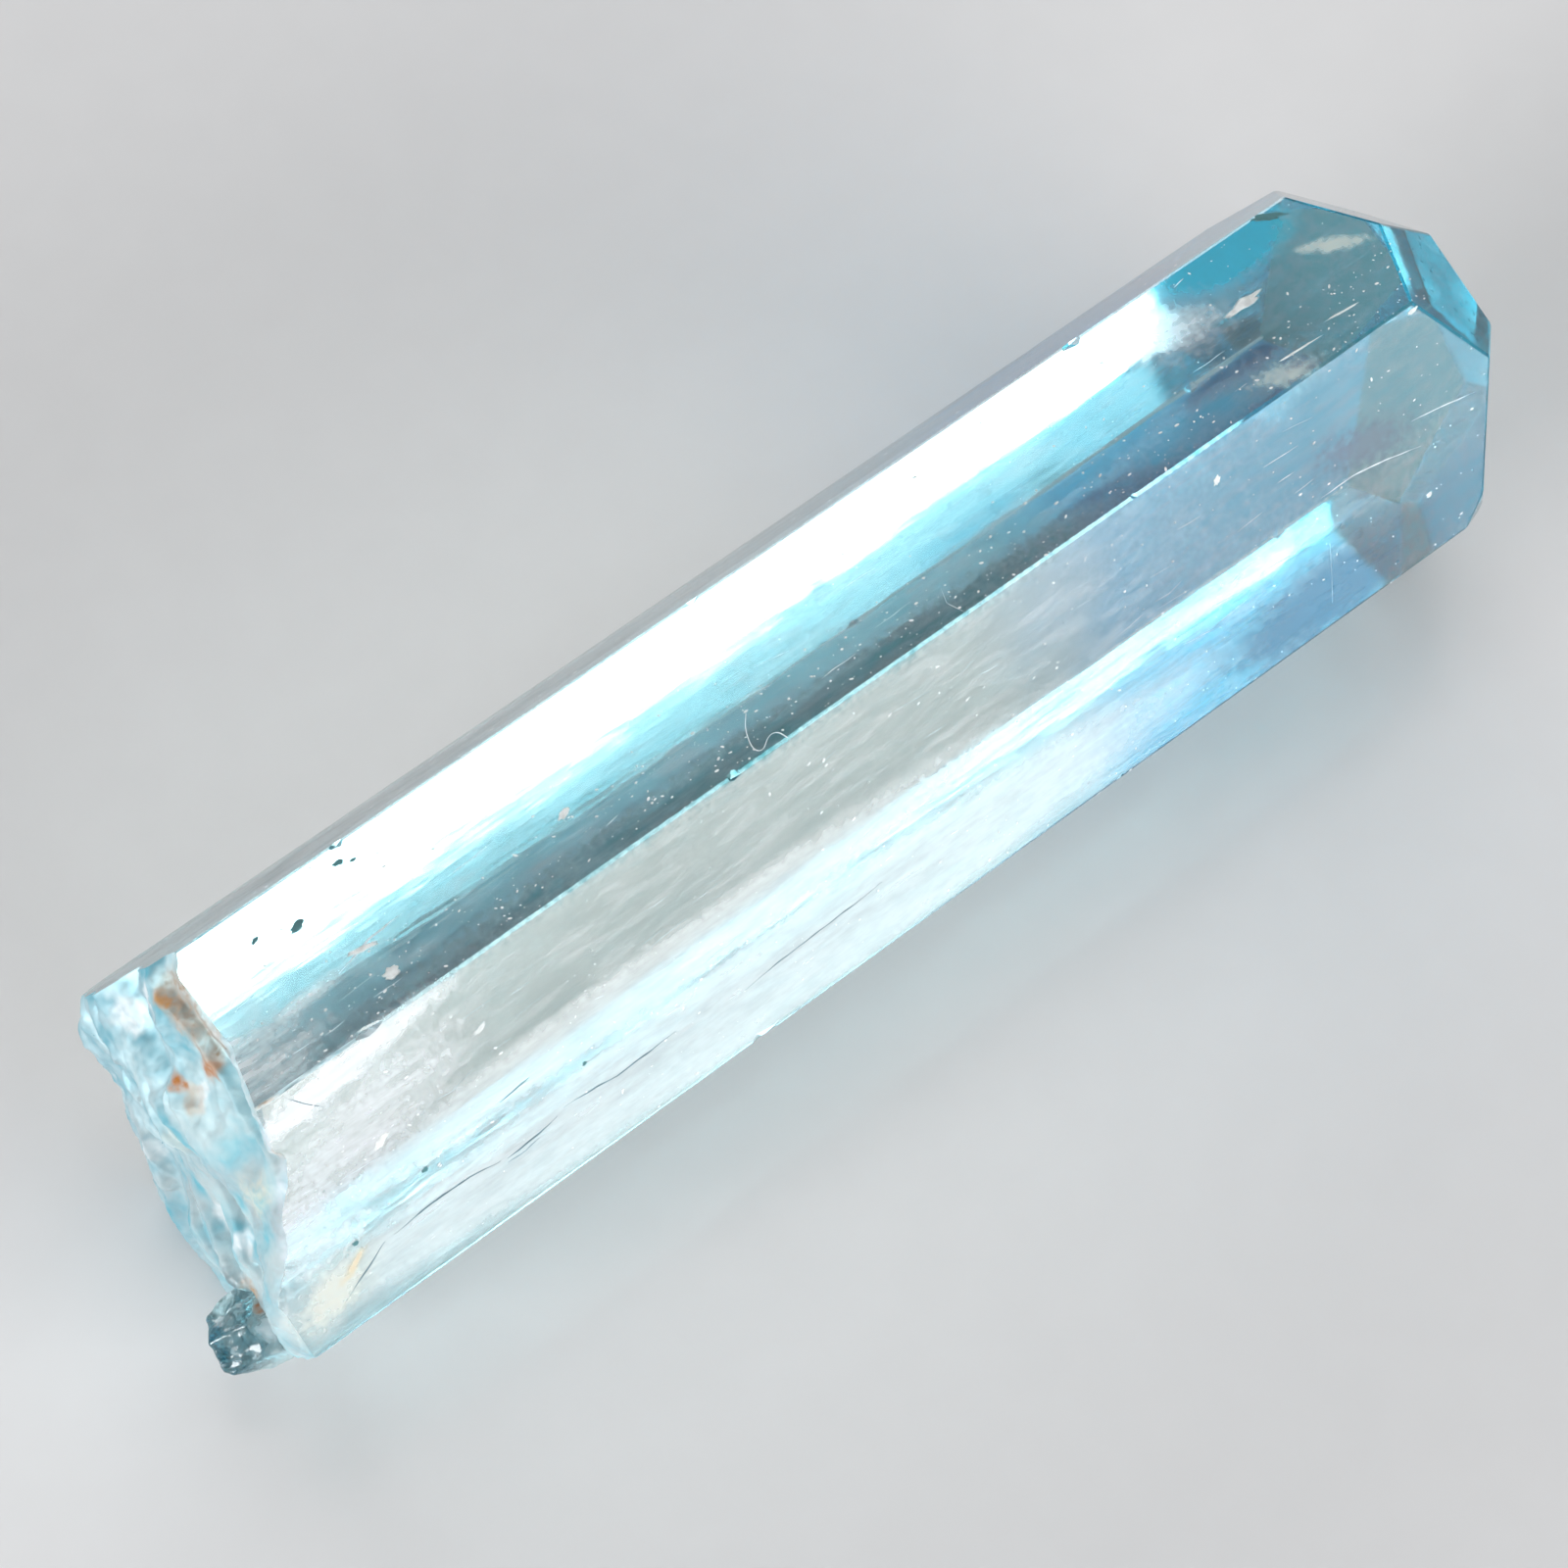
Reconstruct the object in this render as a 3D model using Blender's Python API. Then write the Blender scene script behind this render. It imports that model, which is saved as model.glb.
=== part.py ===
"""Aquamarine crystal lying on one of its prism faces.

The object is a single natural crystal of beryl: a six-sided prism that ends in six sloping faces
and a small flat face at the grown end, and in a rough, stepped break at the root, where a small
stub of crystal has grown into it. It is one solid.

Metres, +Z up. +X runs along the crystal's long axis from the root to the grown end. The origin is
on the surface that the crystal lies on, under the middle of the crystal's box.
"""

import math
import random

import bmesh
import bpy
from mathutils import Matrix, Vector, noise

MM = 0.001

# Driving dimensions, in millimetres and degrees. The long axis lies at a height above the
# surface, and a little to the side, because the faces are not all as far from it.
OVERALL_LENGTH = 30.0
AXIS_HEIGHT = 4.27
AXIS_SIDE = -0.2

# Each prism face: its turn about +X from straight up towards +Y, and its distance from the axis.
PRISM_FACES = {
    "top": (0.0, 3.59),
    "back_upper": (61.15, 3.497),
    "back_lower": (120.0, 3.75),
    "bottom": (180.0, AXIS_HEIGHT),
    "front_lower": (240.0, 3.68),
    "front_upper": (300.0, 2.81),
}

# Each end face: its turn about +X, the slope of its normal to the axis, and how far past the
# flat tip it would meet the axis.
END_FACES = {
    "top_back": (36.1, 47.9, 2.11),
    "back": (88.0, 45.6, 2.25),
    "bottom_back": (151.0, 46.4, 2.36),
    "bottom_front": (212.0, 45.2, 1.48),
    "front": (279.3, 45.0, 1.67),
    "top_front": (336.6, 46.6, 1.87),
}

# A growth step down the upper front face: the face's lower part turns a little further down.
STEP_TURN = 1.2
STEP_SHARE = 0.78

EDGE_WEAR = 0.04
SHARP_EDGE_ANGLE = 15.0

# The worn corner where the front end face meets two prism faces: its direction and its depth.
WORN_CORNER_TURN = 268.0
WORN_CORNER_SLOPE = 66.0
WORN_CORNER_DEPTH = 0.16

# The break at the root: its mean place, and how far towards +X from there it meets each prism
# edge and the axis.
ROOT_X = -13.4
BREAK_SETBACKS = {
    ("top", "back_upper"): 0.99,
    ("front_upper", "top"): 0.37,
    ("front_lower", "front_upper"): -0.63,
    ("bottom", "front_lower"): -0.54,
    ("back_lower", "bottom"): -0.33,
    ("back_upper", "back_lower"): -0.08,
}
BREAK_MIDDLE_SETBACK = -0.22
SETBACK_SOFTNESS = 0.15
SETBACK_FALL = 1.5
BREAK_MARGIN = 1.3
BREAK_BLOCK = 5.0

# The break's grain runs across the section. Its mesh has rows along the grain.
GRAIN_TURN = 21.9
COLUMN_SPACING = 0.135
ROW_SPACING = 0.105

# Ledges that run with the grain: the level across the grain and the rise towards +X.
LEDGES = ((-2.50, -0.16), (-1.45, 0.13), (0.15, 0.28), (1.05, -0.20), (2.30, 0.20))
LEDGE_WIDTH = 0.07
LEDGE_STRENGTH = 0.7
LEDGE_FADE = 1.5
GRAIN_WANDER = 0.75

# How fast the ledges fade and the rows stray, per millimetre.
FADE_RATE = 0.5
WANDER_RATE = 0.5

# Chipped facets of the break.
FACET_COUNT = 80
FACET_LENGTH_RATIO = 1.7
FACET_STEP = 0.12
FACET_TILT = 13.0
FACET_BLEND = 0.045
FACET_SEED = 732

# The rounded rim, where the break meets the prism faces, and the chipped back corner.
RIM_REACH = 0.16
RIM_DEPTH = 0.08
CORNER_CHIP = ("back_upper", "back_lower")
CORNER_CHIP_REACH = 0.85
CORNER_CHIP_DEPTH = 1.10

# The small stub of crystal that is fused into the root.
STUB_CENTRE = (-2.05, -2.62)
STUB_SIZE = (1.90, 1.72, 1.62)
STUB_FACETS = (
    ((-0.70, -0.45, 0.55), 0.60),
    ((-0.35, 0.55, 0.75), 0.66),
    ((-0.90, 0.30, -0.25), 0.74),
    ((-0.35, -0.90, -0.10), 0.68),
    ((-0.55, -0.30, -0.75), 0.72),
    ((0.10, -0.55, 0.80), 0.74),
)

# Small chips along the prism edges.
CHIP_COUNT = 16
CHIP_START = -11.4
CHIP_END = 11.0
CHIP_SIZE = (0.10, 0.24)
CHIP_STRETCH = 2.4
CHIP_DEPTH_SHARE = 0.55
CHIP_SEED = 5

CRYSTAL_COLOUR = (0.62, 0.86, 0.92, 1.0)
CRYSTAL_ROUGHNESS = 0.04
CRYSTAL_IOR = 1.577


def clear_scene():
    """Remove every object that the file opens with."""
    for item in list(bpy.data.objects):
        bpy.data.objects.remove(item, do_unlink=True)


def new_collection(name):
    """Return a new collection linked to the scene."""
    collection = bpy.data.collections.new(name)
    bpy.context.scene.collection.children.link(collection)
    return collection


def new_object(name, mesh_builder, collection):
    """Return a new object whose mesh is the finished mesh_builder."""
    bmesh.ops.recalc_face_normals(mesh_builder, faces=mesh_builder.faces[:])
    mesh = bpy.data.meshes.new(name)
    mesh_builder.to_mesh(mesh)
    mesh_builder.free()
    item = bpy.data.objects.new(name, mesh)
    collection.objects.link(item)
    return item


def across_axis(turn):
    """Return the unit vector square to the long axis at a turn from straight up."""
    angle = math.radians(turn)
    return Vector((0.0, math.sin(angle), math.cos(angle)))


def sloping_normal(turn, slope):
    """Return the unit normal of an end face."""
    angle = math.radians(slope)
    return Vector((math.cos(angle), 0.0, 0.0)) + across_axis(turn) * math.sin(angle)


def axis_point(x):
    """Return the point of the long axis at x millimetres."""
    return Vector((x, AXIS_SIDE, AXIS_HEIGHT)) * MM


def cut_face(shape, point, normal):
    """Cut a flat face across a closed convex shape and drop what lies outside it."""
    geometry = shape.verts[:] + shape.edges[:] + shape.faces[:]
    result = bmesh.ops.bisect_plane(
        shape, geom=geometry, plane_co=point, plane_no=normal, dist=1e-9, clear_outer=True
    )
    rim = [part for part in result["geom_cut"] if isinstance(part, bmesh.types.BMEdge)]
    if rim:
        bmesh.ops.contextual_create(shape, geom=rim)


def prism_corner(first, second):
    """Return the prism edge between two faces, as a vector square to the axis, in millimetres."""
    turn_one, distance_one = PRISM_FACES[first]
    turn_two, distance_two = PRISM_FACES[second]
    one = across_axis(turn_one)
    two = across_axis(turn_two)
    scale = one.y * two.z - one.z * two.y
    y = (distance_one * two.z - distance_two * one.z) / scale
    z = (distance_two * one.y - distance_one * two.y) / scale
    return Vector((0.0, y, z))


def crystal_body():
    """Return the sharp crystal as a mesh builder: prism faces, end faces, flat tip, worn edges."""
    shape = bmesh.new()
    bmesh.ops.create_cube(shape, size=OVERALL_LENGTH * MM)
    bmesh.ops.translate(shape, verts=shape.verts, vec=axis_point(0.0))
    for turn, distance in PRISM_FACES.values():
        outward = across_axis(turn)
        cut_face(shape, axis_point(0.0) + outward * distance * MM, outward)
    add_growth_step(shape)
    tip_x = OVERALL_LENGTH / 2.0
    for turn, slope, beyond in END_FACES.values():
        cut_face(shape, axis_point(tip_x + beyond), sloping_normal(turn, slope))
    wear_corner(shape)
    wear_edges(shape)
    return shape


def add_growth_step(shape):
    """Turn the lower part of the upper front face a little, as a lengthwise growth step."""
    upper = prism_corner("front_upper", "top")
    lower = prism_corner("front_lower", "front_upper")
    crease = upper.lerp(lower, STEP_SHARE) * MM
    turn = PRISM_FACES["front_upper"][0] - STEP_TURN
    cut_face(shape, axis_point(0.0) + crease, across_axis(turn))


def wear_corner(shape):
    """Cut the small worn corner at the front of the grown end."""
    normal = sloping_normal(WORN_CORNER_TURN, WORN_CORNER_SLOPE)
    reach = max(vert.co.dot(normal) for vert in shape.verts)
    cut_face(shape, normal * (reach - WORN_CORNER_DEPTH * MM), normal)


def wear_edges(shape):
    """Blunt each sharp edge of the crystal very slightly."""
    limit = math.radians(SHARP_EDGE_ANGLE)
    edges = [edge for edge in shape.edges if edge.calc_face_angle(0.0) > limit]
    bmesh.ops.bevel(
        shape,
        geom=edges,
        offset=EDGE_WEAR * MM,
        offset_type="OFFSET",
        segments=1,
        profile=0.5,
        affect="EDGES",
        material=-1,
    )


def smooth_step(value):
    """Return 0 below 0, 1 above 1, and a smooth rise between."""
    value = min(max(value, 0.0), 1.0)
    return value * value * (3.0 - 2.0 * value)


def section_point(along, across):
    """Return the cross-section point, from the axis, for a point along and across the grain."""
    angle = math.radians(GRAIN_TURN)
    y = -along * math.cos(angle) - across * math.sin(angle)
    z = -along * math.sin(angle) + across * math.cos(angle)
    return y, z


def grain_rows(reach):
    """Return the levels of the mesh rows, with a row at the foot and the head of each ledge."""
    count = round(2.0 * reach / ROW_SPACING)
    half = LEDGE_WIDTH / 2.0
    levels = [level + side for level, _ in LEDGES for side in (-half, half)]
    for index in range(count + 1):
        row = -reach + 2.0 * reach * index / count
        if min(abs(row - level) for level, _ in LEDGES) > LEDGE_WIDTH:
            levels.append(row)
    return sorted(levels)


def grain_wander(along, level):
    """Return how far a row of the break strays across the grain."""
    return GRAIN_WANDER * noise.noise(Vector((along * WANDER_RATE, level * WANDER_RATE, 0.4)))


def ledge_relief(along, level):
    """Return the height of the ledges that have been climbed at a level."""
    height = 0.0
    for index, (foot, rise) in enumerate(LEDGES):
        fade = noise.noise(Vector((along * FADE_RATE, index * 3.1, 5.2)))
        strength = max(LEDGE_STRENGTH + LEDGE_FADE * fade, 0.0)
        height += rise * strength * smooth_step((level - foot) / LEDGE_WIDTH + 0.5)
    return height


def scatter_facets(reach):
    """Return the break's chipped facets: centre along and across the grain, step and tilts."""
    chance = random.Random(FACET_SEED)
    tilt = math.tan(math.radians(FACET_TILT))
    facets = []
    for _ in range(FACET_COUNT):
        along = chance.uniform(-reach, reach)
        across = chance.uniform(-reach, reach)
        step = chance.uniform(-FACET_STEP, FACET_STEP)
        tilt_along = chance.uniform(-tilt, tilt)
        tilt_across = chance.uniform(-tilt, tilt)
        facets.append((along, across, step, tilt_along, tilt_across))
    return facets


def facet_relief(along, across, facets):
    """Return the height of the chipped facets at a point of the break."""
    distances = []
    for centre_along, centre_across, *_ in facets:
        stretched = (along - centre_along) / FACET_LENGTH_RATIO
        distances.append(math.hypot(stretched, across - centre_across))
    nearest = min(distances)
    total = 0.0
    weight_sum = 0.0
    for distance, facet in zip(distances, facets):
        weight = math.exp((nearest - distance) / FACET_BLEND)
        centre_along, centre_across, step, tilt_along, tilt_across = facet
        height = step + (along - centre_along) * tilt_along + (across - centre_across) * tilt_across
        total += weight * height
        weight_sum += weight
    return total / weight_sum


def broad_relief(y, z):
    """Return the break's broad form, blended from its set-back at each prism edge."""
    anchors = [(prism_corner(*faces), setback) for faces, setback in BREAK_SETBACKS.items()]
    anchors.append((Vector((0.0, 0.0, 0.0)), BREAK_MIDDLE_SETBACK))
    total = 0.0
    weight_sum = 0.0
    for corner, setback in anchors:
        distance = (corner.y - y) ** 2 + (corner.z - z) ** 2
        weight = 1.0 / (SETBACK_SOFTNESS + distance) ** SETBACK_FALL
        total += weight * setback
        weight_sum += weight
    return total / weight_sum


def rim_relief(y, z):
    """Return how far the break rounds towards +X at its rim and at the chipped corner."""
    point = Vector((0.0, y, z))
    depth = min(distance - across_axis(turn).dot(point) for turn, distance in PRISM_FACES.values())
    rim = RIM_DEPTH * (1.0 - smooth_step(depth / RIM_REACH))
    away = (point - prism_corner(*CORNER_CHIP)).length
    chip = CORNER_CHIP_DEPTH * max(1.0 - away / CORNER_CHIP_REACH, 0.0) ** 2
    return rim + chip


def break_position(along, level, facets):
    """Return a point of the break, in millimetres from the axis."""
    across = level + grain_wander(along, level)
    y, z = section_point(along, across)
    ledges = ledge_relief(along, level) - ledge_relief(along, 0.0)
    relief = broad_relief(y, z) + facet_relief(along, across, facets) + rim_relief(y, z)
    return Vector((ROOT_X + ledges + relief, y, z))


def break_cutter(collection):
    """Return the block that removes all that lies behind the rough break."""
    reach = max(distance for _, distance in PRISM_FACES.values()) + BREAK_MARGIN
    facets = scatter_facets(reach)
    rows = grain_rows(reach)
    columns = round(2.0 * reach / COLUMN_SPACING)
    block = bmesh.new()
    bmesh.ops.create_grid(block, x_segments=columns, y_segments=len(rows) - 1, size=1.0)
    front = block.verts[:]
    swept = bmesh.ops.extrude_face_region(block, geom=block.faces[:], use_keep_orig=True)
    back = [part for part in swept["geom"] if isinstance(part, bmesh.types.BMVert)]
    for vert in front + back:
        row = rows[round((vert.co.y + 1.0) / 2.0 * (len(rows) - 1))]
        place = break_position(vert.co.x * reach, row, facets)
        vert.co = axis_point(0.0) + place * MM
    for vert in back:
        vert.co.x = (ROOT_X - BREAK_BLOCK) * MM
    return new_object("break_cutter", block, collection)


def stub_tool(collection):
    """Return the small faceted stub that is fused into the root."""
    shape = bmesh.new()
    bmesh.ops.create_icosphere(shape, subdivisions=2, radius=0.5)
    for direction, depth in STUB_FACETS:
        normal = Vector(direction).normalized()
        cut_face(shape, normal * depth * 0.5, normal)
    bmesh.ops.scale(shape, verts=shape.verts, vec=Vector(STUB_SIZE) * MM)
    y, z = STUB_CENTRE
    lowest_x = min(vert.co.x for vert in shape.verts)
    place = axis_point(-OVERALL_LENGTH / 2.0) + Vector((-lowest_x, y * MM, z * MM))
    bmesh.ops.translate(shape, verts=shape.verts, vec=place)
    return new_object("stub_tool", shape, collection)


def chip_cutter(collection):
    """Return the small lens-shaped cutters that nick the prism edges."""
    chance = random.Random(CHIP_SEED)
    names = list(PRISM_FACES)
    shape = bmesh.new()
    spacing = (CHIP_END - CHIP_START) / CHIP_COUNT
    for index in range(CHIP_COUNT):
        side = index % len(names)
        corner = prism_corner(names[side], names[side - 1])
        size = chance.uniform(*CHIP_SIZE)
        x = CHIP_START + spacing * (index + chance.uniform(0.1, 0.9))
        outward = corner.normalized()
        centre = corner + outward * size * (1.0 - CHIP_DEPTH_SHARE)
        made = bmesh.ops.create_icosphere(shape, subdivisions=1, radius=size * MM)
        stretch = Vector((chance.uniform(1.0, CHIP_STRETCH), 1.0, 1.0))
        bmesh.ops.scale(shape, verts=made["verts"], vec=stretch)
        spin = Matrix.Rotation(chance.uniform(0.0, math.tau), 3, "X")
        bmesh.ops.rotate(shape, verts=made["verts"], cent=Vector(), matrix=spin)
        place = axis_point(x) + centre * MM
        bmesh.ops.translate(shape, verts=made["verts"], vec=place)
    return new_object("chip_cutter", shape, collection)


def crystal_material():
    """Return the clear, pale blue-green crystal."""
    material = bpy.data.materials.new("aquamarine")
    material.use_nodes = True
    shader = material.node_tree.nodes["Principled BSDF"]
    shader.inputs["Base Color"].default_value = CRYSTAL_COLOUR
    shader.inputs["Roughness"].default_value = CRYSTAL_ROUGHNESS
    shader.inputs["Metallic"].default_value = 0.0
    shader.inputs["IOR"].default_value = CRYSTAL_IOR
    shader.inputs["Transmission Weight"].default_value = 1.0
    return material


def add_boolean(item, tool, operation):
    """Cut or join a tool with an object and hide the tool."""
    modifier = item.modifiers.new(tool.name, "BOOLEAN")
    modifier.operation = operation
    modifier.solver = "EXACT"
    modifier.object = tool
    tool.hide_render = True
    tool.display_type = "WIRE"


def build_crystal():
    """Build the crystal with its break, its stub and its chips."""
    parts = new_collection("aquamarine")
    cutters = new_collection("aquamarine_cutters")
    crystal = new_object("aquamarine_crystal", crystal_body(), parts)
    crystal.data.materials.append(crystal_material())
    add_boolean(crystal, break_cutter(cutters), "DIFFERENCE")
    add_boolean(crystal, stub_tool(cutters), "UNION")
    add_boolean(crystal, chip_cutter(cutters), "DIFFERENCE")
    return crystal


clear_scene()
build_crystal()
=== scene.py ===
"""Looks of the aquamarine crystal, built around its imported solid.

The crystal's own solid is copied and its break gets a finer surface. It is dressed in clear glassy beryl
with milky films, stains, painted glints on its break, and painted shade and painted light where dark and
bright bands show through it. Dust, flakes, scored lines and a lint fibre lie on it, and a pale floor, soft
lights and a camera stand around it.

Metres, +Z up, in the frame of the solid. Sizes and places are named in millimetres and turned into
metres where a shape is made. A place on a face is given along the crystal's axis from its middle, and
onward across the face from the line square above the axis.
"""

import logging
import math
import random
from dataclasses import dataclass, field, replace
from enum import Enum

import bmesh
import bpy
from mathutils import Matrix, Vector, noise
from mathutils.bvhtree import BVHTree


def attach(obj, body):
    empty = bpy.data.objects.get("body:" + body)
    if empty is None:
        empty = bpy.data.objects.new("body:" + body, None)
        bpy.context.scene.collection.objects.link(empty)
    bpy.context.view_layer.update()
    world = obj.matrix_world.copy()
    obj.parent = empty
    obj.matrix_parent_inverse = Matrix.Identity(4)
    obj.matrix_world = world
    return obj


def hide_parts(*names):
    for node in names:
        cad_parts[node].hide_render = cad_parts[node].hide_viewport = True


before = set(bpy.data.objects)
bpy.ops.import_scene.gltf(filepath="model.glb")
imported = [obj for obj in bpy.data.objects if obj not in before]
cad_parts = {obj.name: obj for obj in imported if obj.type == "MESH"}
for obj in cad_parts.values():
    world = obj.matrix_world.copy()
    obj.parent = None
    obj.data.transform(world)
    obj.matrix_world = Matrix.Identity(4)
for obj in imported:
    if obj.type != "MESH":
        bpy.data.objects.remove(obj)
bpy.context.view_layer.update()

MM = 0.001
NODE_NAME = "aquamarine_crystal"
BODY_NAME = "root"

# The crystal's axis: how far it lies along Y, and its height above the floor, in millimetres.
AXIS_SIDE = -0.2
AXIS_HEIGHT = 4.27

# Clear crystal mirrors light inside itself many times, so its paths are followed this far.
LIGHT_BOUNCES = 16

# The crystal's own attributes: how broken a face is, the break's tint with its stains and painted glints,
# and which way a face looks, which places the painted shade.
FRACTURE = "fracture"
BREAK_TINT = "break_tint"
SIDES = "sides"

Pair = tuple[float, float]
Triple = tuple[float, float, float]

log = logging.getLogger("aquamarine")


class CrystalFace(Enum):
    """The long faces of the prism, each by its turn about +X from straight up towards +Y."""

    TOP = 0.0
    BACK_UPPER = 61.15
    BACK_LOWER = 120.0
    BOTTOM = 180.0
    FRONT_LOWER = 240.0
    FRONT_UPPER = 300.0

    def outward(self) -> Vector:
        """Return the face's outward normal."""
        turn = math.radians(self.value)
        return Vector((0.0, math.sin(turn), math.cos(turn)))

    def onward(self) -> Vector:
        """Return the direction across the face that leads on to the next turn."""
        turn = math.radians(self.value)
        return Vector((0.0, math.cos(turn), -math.sin(turn)))

    def lie(self, angle: float) -> Matrix:
        """Return the turn that lays a flat shape on the face.

        Args:
            angle: The shape's turn in the plane of the face, from +X, in degrees.

        Returns:
            The rotation, as a matrix of four rows.
        """
        spin = Matrix.Rotation(math.radians(angle), 4, "Z")
        return Matrix.Rotation(-math.radians(self.value), 4, "X") @ spin


class NodeSheet:
    """One material and the short calls that lay out its nodes."""

    def __init__(self, name: str) -> None:
        """Start a material with a Principled shader.

        Args:
            name: The material's name.
        """
        self.material = bpy.data.materials.new(name)
        self.material.use_nodes = True
        self.tree = self.material.node_tree
        self.shader = self.tree.nodes["Principled BSDF"]
        self.output = self.tree.nodes["Material Output"]

    def node(self, kind: str, inputs: dict | None = None, **settings: object) -> bpy.types.Node:
        """Add a node.

        Args:
            kind: The node's type, without the leading ShaderNode.
            inputs: Values or sockets for its inputs, by name or index.
            settings: Values for its own properties.

        Returns:
            The new node.
        """
        made = self.tree.nodes.new("ShaderNode" + kind)
        for name, value in settings.items():
            setattr(made, name, value)
        for name, value in (inputs or {}).items():
            self.feed(made.inputs[name], value)
        return made

    def feed(self, socket: bpy.types.NodeSocket, value: object) -> None:
        """Link a socket into an input, or set the input's own value.

        Args:
            socket: The input.
            value: A socket to link, or a plain value.
        """
        if isinstance(value, bpy.types.NodeSocket):
            self.tree.links.new(value, socket)
        else:
            socket.default_value = value

    def maths(self, operation: str, *values: object) -> bpy.types.NodeSocket:
        """Return the result of a Math node."""
        return self.node("Math", dict(enumerate(values)), operation=operation).outputs[0]

    def millimetres(self) -> bpy.types.NodeSocket:
        """Return the point on the piece, in millimetres."""
        place = self.node("TexCoord").outputs["Object"]
        return self.node("VectorMath", {0: place, "Scale": 1.0 / MM}, operation="SCALE").outputs[0]

    def stretched(self, point: bpy.types.NodeSocket, scale: Triple) -> bpy.types.NodeSocket:
        """Return a point with each direction scaled by its own factor."""
        return self.node("Mapping", {"Vector": point, "Scale": scale}).outputs[0]

    def clouds(self, point: object, scale: float, detail: float = 3.0, rough: float = 0.5) -> object:
        """Return a noise value around a half.

        Args:
            point: The point at which the noise is read.
            scale: How many features there are in a millimetre.
            detail: The number of octaves.
            rough: The strength of the finer octaves.

        Returns:
            The noise's socket.
        """
        inputs = {"Vector": point, "Scale": scale, "Detail": detail, "Roughness": rough}
        return self.node("TexNoise", inputs).outputs[0]

    def rise(self, value: object, low: float, high: float, start: float = 0.0, end: float = 1.0) -> object:
        """Return a smooth rise from start to end while the value goes from low to high."""
        inputs = {0: value, 1: low, 2: high, 3: start, 4: end}
        return self.node("MapRange", inputs, interpolation_type="SMOOTHSTEP").outputs[0]

    def blend(self, share: object, first: object, second: object) -> bpy.types.NodeSocket:
        """Return a colour between two colours.

        Args:
            share: The share of the second colour, from zero to one.
            first: The first colour.
            second: The second colour.

        Returns:
            The blended colour's socket.
        """
        made = self.node("Mix", data_type="RGBA")
        self.feed(made.inputs[0], share)
        self.feed(made.inputs[6], first)
        self.feed(made.inputs[7], second)
        return made.outputs[2]

    def either(self, first: object, second: object) -> bpy.types.NodeSocket:
        """Return the larger of two values."""
        return self.maths("MAXIMUM", first, second)


def colour(red: float, green: float, blue: float) -> tuple[float, float, float, float]:
    """Return a full colour."""
    return (red, green, blue, 1.0)


def clamped(value: float) -> float:
    """Return a value held between zero and one."""
    return min(1.0, max(0.0, value))


@dataclass(frozen=True)
class StainAndGlint:
    """A mineral stain on the break; the frost white ones are painted glints of the break, laid as crushed
    frosted spots.

    The stain has faded out at its reach along X, Y and Z, and the fade takes up the outer part of that
    reach. Its depth is the share of the light it stops, and its speckle is the share of that depth that
    is broken up into grains.
    """

    place: Triple
    reach: Triple
    tint: Triple
    depth: float
    speckle: float = 0.35
    fade: float = 0.55
    grains: float = 9.0

    def share(self, point: Vector) -> float:
        """Return the share of the light that the stain stops at a point.

        Args:
            point: A point on the break, in millimetres.

        Returns:
            The share, from zero to the stain's depth.
        """
        away = [(point[axis] - self.place[axis]) / self.reach[axis] for axis in range(3)]
        distance = Vector(away).length
        fade = clamped((1.0 - distance) / self.fade)
        grains = 1.0 - self.speckle * (0.5 - noise.noise(point * self.grains))
        return self.depth * grains * fade * fade * (3.0 - 2.0 * fade)


RUST = (0.40, 0.14, 0.018)
OCHRE = (0.46, 0.24, 0.08)
TAN = (0.38, 0.27, 0.18)
CREAM = (0.90, 0.79, 0.58)
FROST_AND_GLINT = (0.95, 0.98, 1.0)
FILM = (0.93, 0.96, 1.0)

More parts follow.
